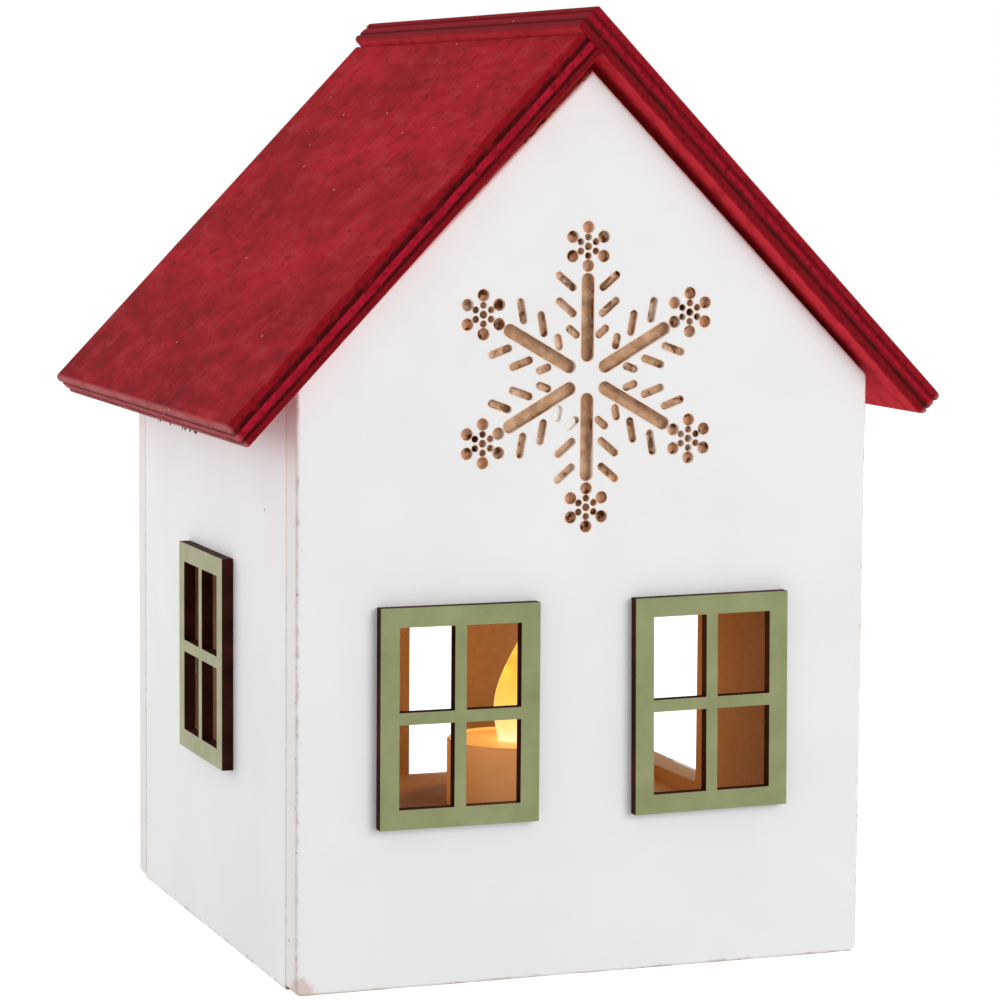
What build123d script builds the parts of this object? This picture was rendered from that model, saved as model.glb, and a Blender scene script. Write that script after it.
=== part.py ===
"""Wooden tealight house with a plywood roof, laser-cut window frames and an LED tealight inside.

Millimetres, +Z up. The front gable faces -Y. The origin lies on the table, under the middle of
the whole object's outline.
"""
import math
import os

from build123d import *

# House walls
house_width = 155.0
house_depth = 155.0
eave_height = 153.0
panel_thickness = 8.4
panel_edge_round = 1.0
panel_corner_round = 2.0
gable_pitch = 45.0

# Roof slabs: five plies each, the two cross plies set back by sanding; a little steeper than the gables
roof_thickness = 7.8
ridge_gap = 4.0
ridge_proud = 1.8
ridge_x = -0.45
eave_gap_left = 0.3
eave_gap_right = 2.2
eave_overhang_left = 14.4
eave_overhang_right = 12.5
front_overhang = 7.2
back_overhang = 18.0
ply_shares = (0.25, 0.10, 0.25, 0.12, 0.28)
ply_setbacks_shares = (0.0, 1.0, 0.25, 1.0, 0.0)
ply_setback = 0.3
roof_edge_round = 1.4

# Window frames, glued on over the openings
frame_width = 42.4
frame_height = 56.0
frame_thickness = 3.1
frame_rail = 5.0
frame_muntin = 3.1
frame_lap = 1.0
front_frame_left_x = -35.3
front_frame_right_x = 33.4
front_frame_z = 69.3
front_frame_right_turn = 0.6
side_frame_y = -0.2
side_frame_z = 75.5

# Snowflake routed into the front gable, not right through it
flake_x = -0.9
flake_above_eaves = 0.6
flake_upright_radius = 33.0
flake_side_radius = 32.3
flake_arms = 6
flake_depth = 2.4
spar_width = 3.4
spar_inner_share = 0.12
spar_outer_share = 0.798
barb_width = 2.0
barb_angle = 50.0
barb_radius_shares = (0.35, 0.537, 0.735)
barb_side_shares = (0.12, 0.176, 0.179)
barb_length_shares = (0.13, 0.205, 0.205)
barb_depth_shares = (0.4, 0.65, 0.65)
petal_count = 6
petal_circle_radius = 4.85
petal_diameter = 3.1
seed_circle_radius = 2.35
seed_diameter = 1.8
flower_centre_diameter = 2.0

# Openings at the back and in the right wall, and the raised floor
floor_top = 25.7
floor_thickness = 5.0
slot_left_x = 2.3
slot_width = 17.0
slot_height = 62.0
slot_below_floor = 6.0
side_opening_width = 52.0
side_opening_sill = 29.8
side_opening_height = 72.6
side_opening_back_margin = 6.3
opening_corner_round = 2.0

# LED tealight, standing on the floor a little behind and right of the middle
tealight_x = 16.3
tealight_back_distance = 49.1
cup_radius = 18.5
cup_height = 18.6
cup_wall = 1.0
cup_rim_round = 0.8
deck_thickness = 1.2
deck_drop = 0.7
ledge_width = 1.2
ledge_height = 1.0
base_radial_clearance = 0.15
base_rise = 0.6
base_thickness = 1.6

# Flame-shaped diffuser, pushed up through the deck
flame_height = 31.0
flame_radius = 5.3
flame_lean = 3.6
flame_neck_radius = 3.9
flame_fit = 0.1
flame_flange_radius = 5.6
flame_flange_thickness = 0.8
flame_bore_depth = 7.0
flame_height_shares = (0.0, 0.16, 0.36, 0.58, 0.78, 0.93, 1.0)
flame_radius_shares = (0.74, 0.93, 1.0, 0.80, 0.48, 0.20, 0.05)
flame_lean_shares = (0.0, 0.0, 0.04, 0.24, 0.58, 0.88, 1.0)

# Light-emitting diode and its two legs
led_radius = 1.5
led_fit = 0.1
led_length = 5.0
led_flange_radius = 1.9
led_flange_height = 0.8
leg_radius = 0.25
leg_spacing = 2.54
leg_bend_radius = 0.8
leg_drop = 2.0
leg_reach = 8.9

# Coin cell, its pocket, contacts, door and screw
cell_radius = 10.0
cell_height = 3.2
cell_offset = 4.0
pocket_clearance = 0.3
pocket_wall = 1.0
contact_thickness = 0.3
contact_width = 4.0
contact_end_inset = 0.6
switch_contact_length = 7.0
switch_contact_width = 1.0
door_thickness = 0.8
door_lip = 1.6
door_clearance = 0.2
ear_radius = 2.4
ear_reach = 12.6
screw_head_radius = 1.5
screw_head_height = 0.5
screw_radius = 0.8
screw_length = 3.6
screw_clearance = 0.05
screw_socket_radius = 0.6
boss_radius = 2.0

# Slide switch in the base
switch_x = 12.4
switch_nub_width = 2.6
switch_nub_length = 3.0
switch_travel = 3.0
switch_clearance = 0.2
switch_flange_margin = 0.8
switch_flange_thickness = 0.6
switch_nub_gap = 0.3
switch_rib_count = 3
switch_rib_width = 0.4
switch_rib_depth = 0.2

overrun = 2.0

# Derived places
half_width = house_width / 2
half_depth = house_depth / 2
peak_height = eave_height + half_width * math.tan(math.radians(gable_pitch))
ridge_height = peak_height + ridge_gap
left_run = half_width + ridge_x
right_run = half_width - ridge_x
left_pitch = math.atan2(ridge_height - eave_height - eave_gap_left, left_run)
right_pitch = math.atan2(ridge_height - eave_height - eave_gap_right, right_run)
inner_half_width = half_width - panel_thickness
inner_half_depth = half_depth - panel_thickness
left_slope_length = (left_run + eave_overhang_left) / math.cos(left_pitch)
right_slope_length = (right_run + eave_overhang_right) / math.cos(right_pitch)
left_reach = half_width + eave_overhang_left + roof_thickness * math.sin(left_pitch)
right_reach = half_width + eave_overhang_right + roof_thickness * math.sin(right_pitch)
flake_z = eave_height + flake_above_eaves
side_opening_front_y = inner_half_depth - side_opening_back_margin - side_opening_width
tealight_y = inner_half_depth - tealight_back_distance

# The house stands so that the whole outline, roof included, is centred on the origin
house_x = (left_reach - right_reach) / 2
house_y = (front_overhang - back_overhang) / 2


def polar(radius, angle):
    """Point at a radius and an angle in degrees."""
    return radius * math.cos(math.radians(angle)), radius * math.sin(math.radians(angle))


def facing_front(x, y, z, turn=0.0):
    """Plane with local x along +X, or turned up from it, and its normal towards the front."""
    along = polar(1, turn)
    return Plane((house_x + x, house_y + y, z), x_dir=(along[0], 0, along[1]), z_dir=(0, -1, 0))


def facing_right(x, y, z):
    """Plane with local x along +Y, local y up and its normal towards the right."""
    return Plane((house_x + x, house_y + y, z), x_dir=(0, 1, 0), z_dir=(1, 0, 0))


def facing_left(x, y, z):
    """Plane with local x along -Y, local y up and its normal towards the left."""
    return Plane((house_x + x, house_y + y, z), x_dir=(0, -1, 0), z_dir=(-1, 0, 0))


def facing_up(z):
    """Level plane centred on the tealight's axis."""
    return Plane((house_x + tealight_x, house_y + tealight_y, z))


def finish(builder, name):
    """Label a finished piece and write it."""
    builder.part.label = name
    export_step(builder.part, f"parts/{name}.step")


os.makedirs("parts", exist_ok=True)
pane_width = (frame_width - frame_rail * 2 - frame_muntin) / 2
pane_height = (frame_height - frame_rail * 2 - frame_muntin) / 2
window_width = frame_width - frame_lap * 2
window_height = frame_height - frame_lap * 2
gable_outline = [
    (-half_width, 0),
    (half_width, 0),
    (half_width, eave_height),
    (0, peak_height),
    (-half_width, eave_height),
]


flake_face = facing_front(flake_x, -half_depth, flake_z)
flake_radii = [flake_upright_radius if arm % 3 == 0 else flake_side_radius for arm in range(flake_arms)]
flake_angles = [90 + 360 / flake_arms * arm for arm in range(flake_arms)]


def flake_spars():
    """The six straight grooves that the arms are built on."""
    with BuildSketch(flake_face) as grooves:
        for angle, radius in zip(flake_angles, flake_radii):
            length = radius * (spar_outer_share - spar_inner_share)
            middle = radius * (spar_outer_share + spar_inner_share) / 2
            with Locations(polar(middle, angle)):
                SlotOverall(length, spar_width, rotation=angle)
    return grooves.sketch


def flake_barbs(radius_share, side_share, length_share):
    """One row of short grooves on both sides of every arm."""
    with BuildSketch(flake_face) as grooves:
        for angle, radius in zip(flake_angles, flake_radii):
            for side in (-1, 1):
                along = Vector(*polar(radius * radius_share, angle))
                across = Vector(*polar(radius * side_share, angle + side * 90))
                place = along + across
                with Locations((place.X, place.Y)):
                    SlotOverall(radius * length_share, barb_width, rotation=angle + side * barb_angle)
    return grooves.sketch


def flake_flowers():
    """A ring of drilled holes round a middle one at the end of every arm."""
    with BuildSketch(flake_face) as holes:
        for angle, radius in zip(flake_angles, flake_radii):
            flower = Vector(*polar(radius, angle))
            with Locations((flower.X, flower.Y)):
                Circle(flower_centre_diameter / 2)
            for petal in range(petal_count):
                turn = angle + 360 / petal_count * petal
                outer = flower + Vector(*polar(petal_circle_radius, turn))
                inner = flower + Vector(*polar(seed_circle_radius, turn))
                with Locations((outer.X, outer.Y)):
                    Circle(petal_diameter / 2)
                with Locations((inner.X, inner.Y)):
                    Circle(seed_diameter / 2)
    return holes.sketch


# Front gable: overlaps the ends of the side walls, with two windows and the snowflake
spars = flake_spars()
flowers = flake_flowers()
barb_rows = list(zip(barb_radius_shares, barb_side_shares, barb_length_shares))
barbs = [flake_barbs(*row) for row in barb_rows]
with BuildPart() as front_panel:
    with BuildSketch(facing_front(0, -half_depth, 0)):
        Polygon(*gable_outline, align=None)
    extrude(amount=-panel_thickness)
    fillet(front_panel.edges().filter_by(Axis.Y).group_by(Axis.Z)[0], radius=panel_corner_round)
    fillet(front_panel.faces().sort_by(Axis.Y)[0].edges(), radius=panel_edge_round)
    with BuildSketch(facing_front(0, -half_depth - overrun, front_frame_z)):
        with Locations((front_frame_left_x, 0), (front_frame_right_x, 0)):
            Rectangle(window_width, window_height)
    extrude(amount=-panel_thickness - overrun * 2, mode=Mode.SUBTRACT)
    extrude(spars, amount=-flake_depth, mode=Mode.SUBTRACT)
    extrude(flowers, amount=-flake_depth, mode=Mode.SUBTRACT)
    for barb_row, depth_share in zip(barbs, barb_depth_shares):
        extrude(barb_row, amount=-flake_depth * depth_share, mode=Mode.SUBTRACT)
finish(front_panel, "front_panel")

# Back gable: the same outline, with one tall slot that starts below the floor
with BuildPart() as back_panel:
    with BuildSketch(facing_front(0, half_depth, 0)):
        Polygon(*gable_outline, align=None)
    extrude(amount=panel_thickness)
    fillet(back_panel.edges().filter_by(Axis.Y).group_by(Axis.Z)[0], radius=panel_corner_round)
    fillet(back_panel.faces().sort_by(Axis.Y)[-1].edges(), radius=panel_edge_round)
    with BuildSketch(facing_front(slot_left_x, inner_half_depth - overrun, floor_top - slot_below_floor)):
        with Locations((slot_width / 2, (slot_height + slot_below_floor) / 2)):
            RectangleRounded(slot_width, slot_height + slot_below_floor, opening_corner_round)
    extrude(amount=-panel_thickness - overrun * 2, mode=Mode.SUBTRACT)
finish(back_panel, "back_panel")


def side_wall_outline(side, run, pitch):
    """Upright section of a side wall; its bevelled top carries the roof slab."""
    low_top = ridge_height - run * math.tan(pitch)
    high_top = ridge_height - (run - panel_thickness) * math.tan(pitch)
    return [
        (side * half_width, 0),
        (side * inner_half_width, 0),
        (side * inner_half_width, high_top),
        (side * half_width, low_top),
    ]


# Left wall: one window
with BuildPart() as left_wall:
    with BuildSketch(facing_front(0, -inner_half_depth, 0)):
        Polygon(*side_wall_outline(-1, left_run, left_pitch), align=None)
    extrude(amount=-inner_half_depth * 2)
    with BuildSketch(facing_left(-half_width - overrun, side_frame_y, side_frame_z)):
        Rectangle(window_width, window_height)
    extrude(amount=-panel_thickness - overrun * 2, mode=Mode.SUBTRACT)
finish(left_wall, "left_wall")

# Right wall: the opening that the tealight is put in through
with BuildPart() as right_wall:
    with BuildSketch(facing_front(0, -inner_half_depth, 0)):
        Polygon(*side_wall_outline(1, right_run, right_pitch), align=None)
    extrude(amount=-inner_half_depth * 2)
    with BuildSketch(facing_right(half_width + overrun, side_opening_front_y, side_opening_sill)):
        with Locations((side_opening_width / 2, side_opening_height / 2)):
            RectangleRounded(side_opening_width, side_opening_height, opening_corner_round)
    extrude(amount=-panel_thickness - overrun * 2, mode=Mode.SUBTRACT)
finish(right_wall, "right_wall")

# Floor: glued between the four walls, above the table
with BuildPart() as floor_panel:
    with BuildSketch(Plane((house_x, house_y, floor_top - floor_thickness))):
        Rectangle(inner_half_width * 2, inner_half_depth * 2)
    extrude(amount=floor_thickness)
finish(floor_panel, "floor_panel")


def roof_slab(plane, start, end, front_side):
    """Plywood slab on its underside plane: local x runs down the slope, local y along the ridge."""
    length = end - start
    depth = house_depth + front_overhang + back_overhang
    middle_y = front_side * (front_overhang - back_overhang) / 2
    level = 0.0
    with BuildPart() as slab:
        for share, setback_share in zip(ply_shares, ply_setbacks_shares):
            setback = ply_setback * setback_share
            with BuildSketch(plane.offset(level)):
                with Locations(((start + end) / 2, middle_y)):
                    Rectangle(length - setback * 2, depth - setback * 2)
            extrude(amount=roof_thickness * share)
            level += roof_thickness * share
        faces = slab.faces().filter_by(Plane(plane.origin, z_dir=plane.z_dir))
        outer = faces.sort_by(lambda face: (face.center() - plane.origin).dot(plane.z_dir))
        fillet(outer[0].edges() + outer[-1].edges(), radius=roof_edge_round)
    return slab


ridge_point = (house_x + ridge_x, house_y, ridge_height)
left_cos = math.cos(left_pitch)
left_sin = math.sin(left_pitch)
right_cos = math.cos(right_pitch)
right_sin = math.sin(right_pitch)
left_slope = Plane(ridge_point, x_dir=(-left_cos, 0, -left_sin), z_dir=(-left_sin, 0, left_cos))
right_slope = Plane(ridge_point, x_dir=(right_cos, 0, -right_sin), z_dir=(right_sin, 0, right_cos))

# Roof: the right slab covers the upper end of the left one and stands proud of its face
roof_left = roof_slab(left_slope, 0, left_slope_length, 1)
finish(roof_left, "roof_left")
roof_right = roof_slab(right_slope, -roof_thickness - ridge_proud, right_slope_length, -1)
finish(roof_right, "roof_right")


def window_frame(plane):
    """Laser-cut frame with two by two panes, its back on the wall."""
    with BuildPart() as frame:
        with BuildSketch(plane):
            Rectangle(frame_width, frame_height)
            with GridLocations(pane_width + frame_muntin, pane_height + frame_muntin, 2, 2):
                Rectangle(pane_width, pane_height, mode=Mode.SUBTRACT)
        extrude(amount=frame_thickness)
    return frame


right_turn = front_frame_right_turn
frame_places = {
    "window_frame_front_left": facing_front(front_frame_left_x, -half_depth, front_frame_z),
    "window_frame_front_right": facing_front(front_frame_right_x, -half_depth, front_frame_z, right_turn),
    "window_frame_left": facing_left(-half_width, side_frame_y, side_frame_z),
}
for frame_name, frame_place in frame_places.items():
    finish(window_frame(frame_place), frame_name)

# Levels inside the tealight, from the floor up
deck_top = floor_top + cup_height - deck_drop
deck_under = deck_top - deck_thickness
base_under = floor_top + base_rise
base_top = base_under + base_thickness
door_top = base_under + door_thickness
cell_under = door_top + contact_thickness
cell_top = cell_under + cell_height
cup_inner_radius = cup_radius - cup_wall
base_radius = cup_inner_radius - base_radial_clearance
pocket_radius = cell_radius + pocket_clearance
door_radius = pocket_radius + door_lip
cell_place = (-cell_offset, 0)
ear_place = (-cell_offset, ear_reach)

# Cup: moulded shell with a recessed deck and a ledge that the base seats against
with BuildPart() as tealight_cup:
    with BuildSketch(facing_up(floor_top)):
        Circle(cup_radius)
    extrude(amount=cup_height)
    fillet(tealight_cup.faces().sort_by(Axis.Z)[-1].edges(), radius=cup_rim_round)
    with BuildSketch(facing_up(deck_top)):
        Circle(cup_inner_radius)
    extrude(amount=deck_drop + overrun, mode=Mode.SUBTRACT)
    with BuildSketch(facing_up(floor_top - overrun)):
        Circle(cup_inner_radius)
    extrude(amount=base_top - floor_top + overrun, mode=Mode.SUBTRACT)
    with BuildSketch(facing_up(base_top)):
        Circle(cup_inner_radius - ledge_width)
    extrude(amount=ledge_height, mode=Mode.SUBTRACT)
    with BuildSketch(facing_up(base_top + ledge_height)):
        Circle(cup_inner_radius)
    extrude(amount=deck_under - base_top - ledge_height, mode=Mode.SUBTRACT)
    with BuildSketch(facing_up(deck_under - overrun)):
        Circle(flame_neck_radius + flame_fit)
    extrude(amount=deck_thickness + overrun * 2, mode=Mode.SUBTRACT)
finish(tealight_cup, "tealight_cup")

# Flame: translucent teardrop that leans to the right, on a neck and a flange, bored for the diode
flange_under = deck_under - flame_flange_thickness
flame_sections = list(zip(flame_height_shares, flame_radius_shares, flame_lean_shares))
with BuildPart() as flame_bulb:
    for height_share, radius_share, lean_share in flame_sections:
        with BuildSketch(facing_up(deck_top + flame_height * height_share)):
            with Locations((flame_lean * lean_share, 0)):
                Circle(flame_radius * radius_share)
    loft()
    with BuildSketch(facing_up(flange_under)):
        Circle(flame_flange_radius)
    extrude(amount=flame_flange_thickness)
    with BuildSketch(facing_up(deck_under)):
        Circle(flame_neck_radius)
    extrude(amount=deck_thickness)
    with BuildSketch(facing_up(flange_under)):
        Circle(led_radius + led_fit)
    extrude(amount=flame_bore_depth, mode=Mode.SUBTRACT)
finish(flame_bulb, "flame_bulb")

# Diode: flanged body with a domed top, its flange under the flame
led_under = flange_under - led_flange_height
with BuildPart() as led:
    with BuildSketch(facing_up(led_under)):
        Circle(led_flange_radius)
    extrude(amount=led_flange_height)
    with BuildSketch(facing_up(flange_under)):
        Circle(led_radius)
    extrude(amount=led_length - led_radius)
    with Locations(facing_up(flange_under + led_length - led_radius).origin):
        Sphere(led_radius)
finish(led, "led")

# Legs: one straight down to the upper contact, one bent out to the switch contact
upper_contact_top = cell_top + contact_thickness
switch_contact_top = base_top + contact_thickness
with BuildPart() as led_legs:
    with BuildSketch(facing_up(upper_contact_top)):
        with Locations((-leg_spacing / 2, 0)):
            Circle(leg_radius)
    extrude(amount=led_under - upper_contact_top)
    leg_axis = facing_up(0).origin
    leg_points = [
        leg_axis + Vector(leg_spacing / 2, 0, led_under),
        leg_axis + Vector(leg_spacing / 2, 0, led_under - leg_drop),
        leg_axis + Vector(leg_reach, 0, led_under - leg_drop),
        leg_axis + Vector(leg_reach, 0, switch_contact_top),
    ]
    with BuildLine() as leg_path:
        FilletPolyline(*leg_points, radius=leg_bend_radius)
    with BuildSketch(Plane(leg_points[0], z_dir=(0, 0, -1))):
        Circle(leg_radius)
    sweep(path=leg_path.line)
finish(led_legs, "led_legs")

# Base: disc with the cell's pocket, a recess for the door, a screw boss and the switch slot
slot_length = switch_nub_length + switch_travel + switch_clearance * 2
slot_gap_width = switch_nub_width + switch_clearance * 2
with BuildPart() as tealight_base:
    with BuildSketch(facing_up(base_under)):
        Circle(base_radius)
    extrude(amount=base_thickness)
    with BuildSketch(facing_up(base_top)):
        with Locations(cell_place):
            Circle(pocket_radius + pocket_wall)
    extrude(amount=cell_top - base_top)
    with BuildSketch(facing_up(door_top)):
        with Locations(ear_place):
            Circle(boss_radius)
    extrude(amount=cell_top - door_top)
    with BuildSketch(facing_up(base_under - overrun)):
        with Locations(cell_place):
            Circle(pocket_radius)
    extrude(amount=cell_top - base_under + overrun * 2, mode=Mode.SUBTRACT)
    with BuildSketch(facing_up(base_under - overrun)):
        with Locations(cell_place):
            Circle(door_radius + door_clearance)
        with Locations(ear_place):
            Circle(ear_radius + door_clearance)
    extrude(amount=door_thickness + overrun, mode=Mode.SUBTRACT)
    with BuildSketch(facing_up(base_under)):
        with Locations(ear_place):
            Circle(screw_radius + screw_clearance)
    extrude(amount=screw_length + overrun, mode=Mode.SUBTRACT)
    with BuildSketch(facing_up(base_under - overrun)):
        with Locations((switch_x, 0)):
            Rectangle(slot_gap_width, slot_length)
    extrude(amount=base_thickness + overrun * 2, mode=Mode.SUBTRACT)
finish(tealight_base, "tealight_base")

# Battery door: round lid with one ear, countersunk for its screw
with BuildPart() as battery_door:
    with BuildSketch(facing_up(base_under)):
        with Locations(cell_place):
            Circle(door_radius)
        with Locations(ear_place):
            Circle(ear_radius)
    extrude(amount=door_thickness)
    with BuildSketch(facing_up(base_under - overrun)):
        with Locations(ear_place):
            Circle(screw_head_radius + screw_clearance)
    extrude(amount=screw_head_height + overrun, mode=Mode.SUBTRACT)
    with BuildSketch(facing_up(base_under)):
        with Locations(ear_place):
            Circle(screw_radius + screw_clearance)
    extrude(amount=door_thickness + overrun, mode=Mode.SUBTRACT)
finish(battery_door, "battery_door")

# Door screw: flat head with a round socket
with BuildPart() as battery_door_screw:
    with BuildSketch(facing_up(base_under)):
        with Locations(ear_place):
            Circle(screw_head_radius)
    extrude(amount=screw_head_height)
    with BuildSketch(facing_up(base_under + screw_head_height)):
        with Locations(ear_place):
            Circle(screw_radius)
    extrude(amount=screw_length - screw_head_height)
    with BuildSketch(facing_up(base_under)):
        with Locations(ear_place):
            Circle(screw_socket_radius)
    extrude(amount=screw_head_height / 2, mode=Mode.SUBTRACT)
finish(battery_door_screw, "battery_door_screw")

# Coin cell between its two spring strips
with BuildPart() as coin_cell:
    with BuildSketch(facing_up(cell_under)):
        with Locations(cell_place):
            Circle(cell_radius)
    extrude(amount=cell_height)
finish(coin_cell, "coin_cell")

lower_contact_length = (cell_radius - contact_end_inset) * 2
with BuildPart() as lower_contact:
    with BuildSketch(facing_up(door_top)):
        with Locations(cell_place):
            Rectangle(contact_width, lower_contact_length)
    extrude(amount=contact_thickness)
finish(lower_contact, "lower_contact")

upper_contact_length = (pocket_radius + pocket_wall - contact_end_inset) * 2
with BuildPart() as upper_contact:
    with BuildSketch(facing_up(cell_top)):
        with Locations(cell_place):
            Rectangle(upper_contact_length, contact_width)
    extrude(amount=contact_thickness)
finish(upper_contact, "upper_contact")

with BuildPart() as switch_contact:
    with BuildSketch(facing_up(base_top)):
        with Locations((leg_reach, 0)):
            Rectangle(switch_contact_width, switch_contact_length)
    extrude(amount=contact_thickness)
finish(switch_contact, "switch_contact")

# Switch: ribbed nub in the slot, carried by its flange on the base, in the on place
switch_y = -switch_travel / 2
switch_place = (switch_x, switch_y)
flange_width = slot_gap_width + switch_flange_margin * 2
flange_length = switch_nub_length + switch_flange_margin * 2 + switch_clearance * 2
with BuildPart() as switch_slider:
    with BuildSketch(facing_up(floor_top + switch_nub_gap)):
        with Locations(switch_place):
            Rectangle(switch_nub_width, switch_nub_length)
    extrude(amount=base_top - floor_top - switch_nub_gap)
    with BuildSketch(facing_up(base_top)):
        with Locations(switch_place):
            Rectangle(flange_width, flange_length)
    extrude(amount=switch_flange_thickness)
    rib_pitch = switch_nub_length / switch_rib_count
    with BuildSketch(facing_up(floor_top + switch_nub_gap)):
        with Locations(switch_place):
            with GridLocations(0, rib_pitch, 1, switch_rib_count - 1):
                Rectangle(switch_nub_width, switch_rib_width)
    extrude(amount=switch_rib_depth, mode=Mode.SUBTRACT)
finish(switch_slider, "switch_slider")
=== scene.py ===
import math
import random

import bpy
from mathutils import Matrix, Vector


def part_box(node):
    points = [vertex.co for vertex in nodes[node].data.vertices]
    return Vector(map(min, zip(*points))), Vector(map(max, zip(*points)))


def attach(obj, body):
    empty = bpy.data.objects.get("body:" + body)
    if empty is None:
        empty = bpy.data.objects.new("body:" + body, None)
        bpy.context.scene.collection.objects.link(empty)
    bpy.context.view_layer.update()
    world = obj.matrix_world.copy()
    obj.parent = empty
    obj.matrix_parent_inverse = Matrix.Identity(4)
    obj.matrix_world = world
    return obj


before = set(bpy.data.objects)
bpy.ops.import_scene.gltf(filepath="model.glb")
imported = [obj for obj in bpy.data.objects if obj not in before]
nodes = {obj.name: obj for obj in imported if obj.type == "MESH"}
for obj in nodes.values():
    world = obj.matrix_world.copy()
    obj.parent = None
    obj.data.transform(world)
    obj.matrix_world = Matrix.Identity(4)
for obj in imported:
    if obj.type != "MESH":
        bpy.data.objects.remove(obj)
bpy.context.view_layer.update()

# Gables and side walls: fibreboard, sawn, glued and rolled with matt white paint on the outside only.
# The paint wears to a pinkish brown along the arrises, and the insides and the snowflake's cuts are
# bare board, brown and fibrous.
MM = 0.001
front_low, front_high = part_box("front_panel")
back_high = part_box("back_panel")[1]
middle_x = (front_low.x + front_high.x) / 2
middle_y = (front_low.y + back_high.y) / 2
half_width = (front_high.x - front_low.x) / 2
half_depth = (back_high.y - front_low.y) / 2
gable_thickness = front_high.y - front_low.y
# how much the rubbed zones count against the noise, and the shares of chips and specks left out
wear_weight = 0.55
chips_left_out = 0.42
specks_left_out = 0.72
# a knock has opened one corner; its rim and the paint's edge are ragged by these widths
knocked_corner = (front_low.x, front_low.y, 0.0)
knock_ragged = 5 * MM
paint_ragged = 0.3 * MM
# the seam is sunk by this many heights of the paint's stipple
seam_depth = 1.5
# the snowflake lies above the windows; barbs are shallower than the first limit, all cuts than the second
window_heads = 105 * MM
barb_limit = 1.8 * MM
routed_limit = 2.6 * MM
# the flowers begin this far from the hub, and the spars inside show this share of the marks
snowflake_hub = (middle_x - 0.9 * MM, 0.0, 153.6 * MM)
flower_start = 26.0 * MM
calm_share = 0.25


def linear(colour):
    """Linear RGBA of an sRGB hex colour."""
    shares = [int(colour[i:i + 2], 16) / 255 for i in (1, 3, 5)]
    return [s / 12.92 if s <= 0.04045 else ((s + 0.055) / 1.055) ** 2.4 for s in shares] + [1.0]


def add(tree, kind, inputs=None, stops=(), **settings):
    """Add a node; an input is a value, an output socket, or a node whose first live output is meant."""
    made = tree.nodes.new("ShaderNode" + kind)
    for key, value in settings.items():
        setattr(made, key, value)
    for key, value in (inputs or {}).items():
        live = [socket for socket in made.inputs if socket.enabled and socket.name == key]
        socket = live[0] if live else made.inputs[key]
        if isinstance(value, bpy.types.Node):
            value = next(output for output in value.outputs if output.enabled)
        if isinstance(value, bpy.types.NodeSocket):
            tree.links.new(value, socket)
        else:
            socket.default_value = value
    for i, (place, colour) in enumerate(stops):
        stop = made.color_ramp.elements[i] if i < 2 else made.color_ramp.elements.new(place)
        stop.position = place
        stop.color = linear(colour)
    return made


def new_material(name):
    """An empty node material and its tree."""
    made = bpy.data.materials.new(name)
    made.use_nodes = True
    made.node_tree.nodes.clear()
    return made, made.node_tree


def dress(material, shader, *names):
    """Close a material with its shader and give it to the CAD nodes named."""
    add(material.node_tree, "OutputMaterial", {"Surface": shader})
    for name in names:
        nodes[name].data.materials.clear()
        nodes[name].data.materials.append(material)


# Matt emulsion on board: chalky, faintly mottled, with a fine roller stipple
white_paint, tree = new_material("matt_white_paint_on_fibreboard")
place = add(tree, "TexCoord").outputs["Object"]
split = add(tree, "SeparateXYZ", {"Vector": place})
off_x = add(tree, "Math", {0: split.outputs["X"], 1: middle_x}, operation="SUBTRACT")
off_y = add(tree, "Math", {0: split.outputs["Y"], 1: middle_y}, operation="SUBTRACT")
far_x = add(tree, "Math", {0: off_x}, operation="ABSOLUTE")
far_y = add(tree, "Math", {0: off_y}, operation="ABSOLUTE")
under_x = add(tree, "Math", {0: half_width, 1: far_x}, operation="SUBTRACT")
under_y = add(tree, "Math", {0: half_depth, 1: far_y}, operation="SUBTRACT")
under_skin = add(tree, "Math", {0: under_x, 1: under_y}, operation="MINIMUM")
from_arris = add(tree, "Math", {0: under_x, 1: under_y}, operation="MAXIMUM")
ragged = add(tree, "TexNoise", {"Vector": place, "Scale": 1 / (3 * MM), "Detail": 4})
blotches = add(tree, "TexNoise", {"Vector": place, "Scale": 1 / (28 * MM), "Detail": 3})
stipple = add(tree, "TexNoise", {"Vector": place, "Scale": 1 / (1.1 * MM), "Detail": 5})
# the board's fibres are finer than this and are drawn coarser so that they show
fibres = add(tree, "TexNoise", {"Vector": place, "Scale": 1 / (1.6 * MM), "Detail": 6, "Roughness": 0.65})
stains = add(tree, "TexNoise", {"Vector": place, "Scale": 1 / (14 * MM), "Detail": 2})
paint = add(tree, "ValToRGB", {"Fac": blotches}, stops=[(0.3, "#EBEBEB"), (0.7, "#EFEFEF")])
# the coat is rubbed thin along the upright arrises and at the foot
worn_zone = add(tree, "MapRange", {"Value": from_arris, "From Min": 1.7 * MM, "From Max": 0.2 * MM})
foot_zone = add(tree, "MapRange", {"Value": split.outputs["Z"], "From Min": 2.2 * MM, "From Max": 0.0})
zone = add(tree, "Math", {0: worn_zone, 1: foot_zone}, operation="MAXIMUM")
zone_share = add(tree, "Math", {0: zone, 1: wear_weight}, operation="MULTIPLY")
worn_sum = add(tree, "Math", {0: zone_share, 1: ragged}, operation="ADD")
worn = add(tree, "MapRange", {"Value": worn_sum, "From Min": 0.9, "From Max": 1.2, "To Max": 0.75})
worn_coat = add(tree, "Mix", {"Factor": worn, "A": paint, "B": linear("#C4A696")}, data_type="RGBA")
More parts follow.
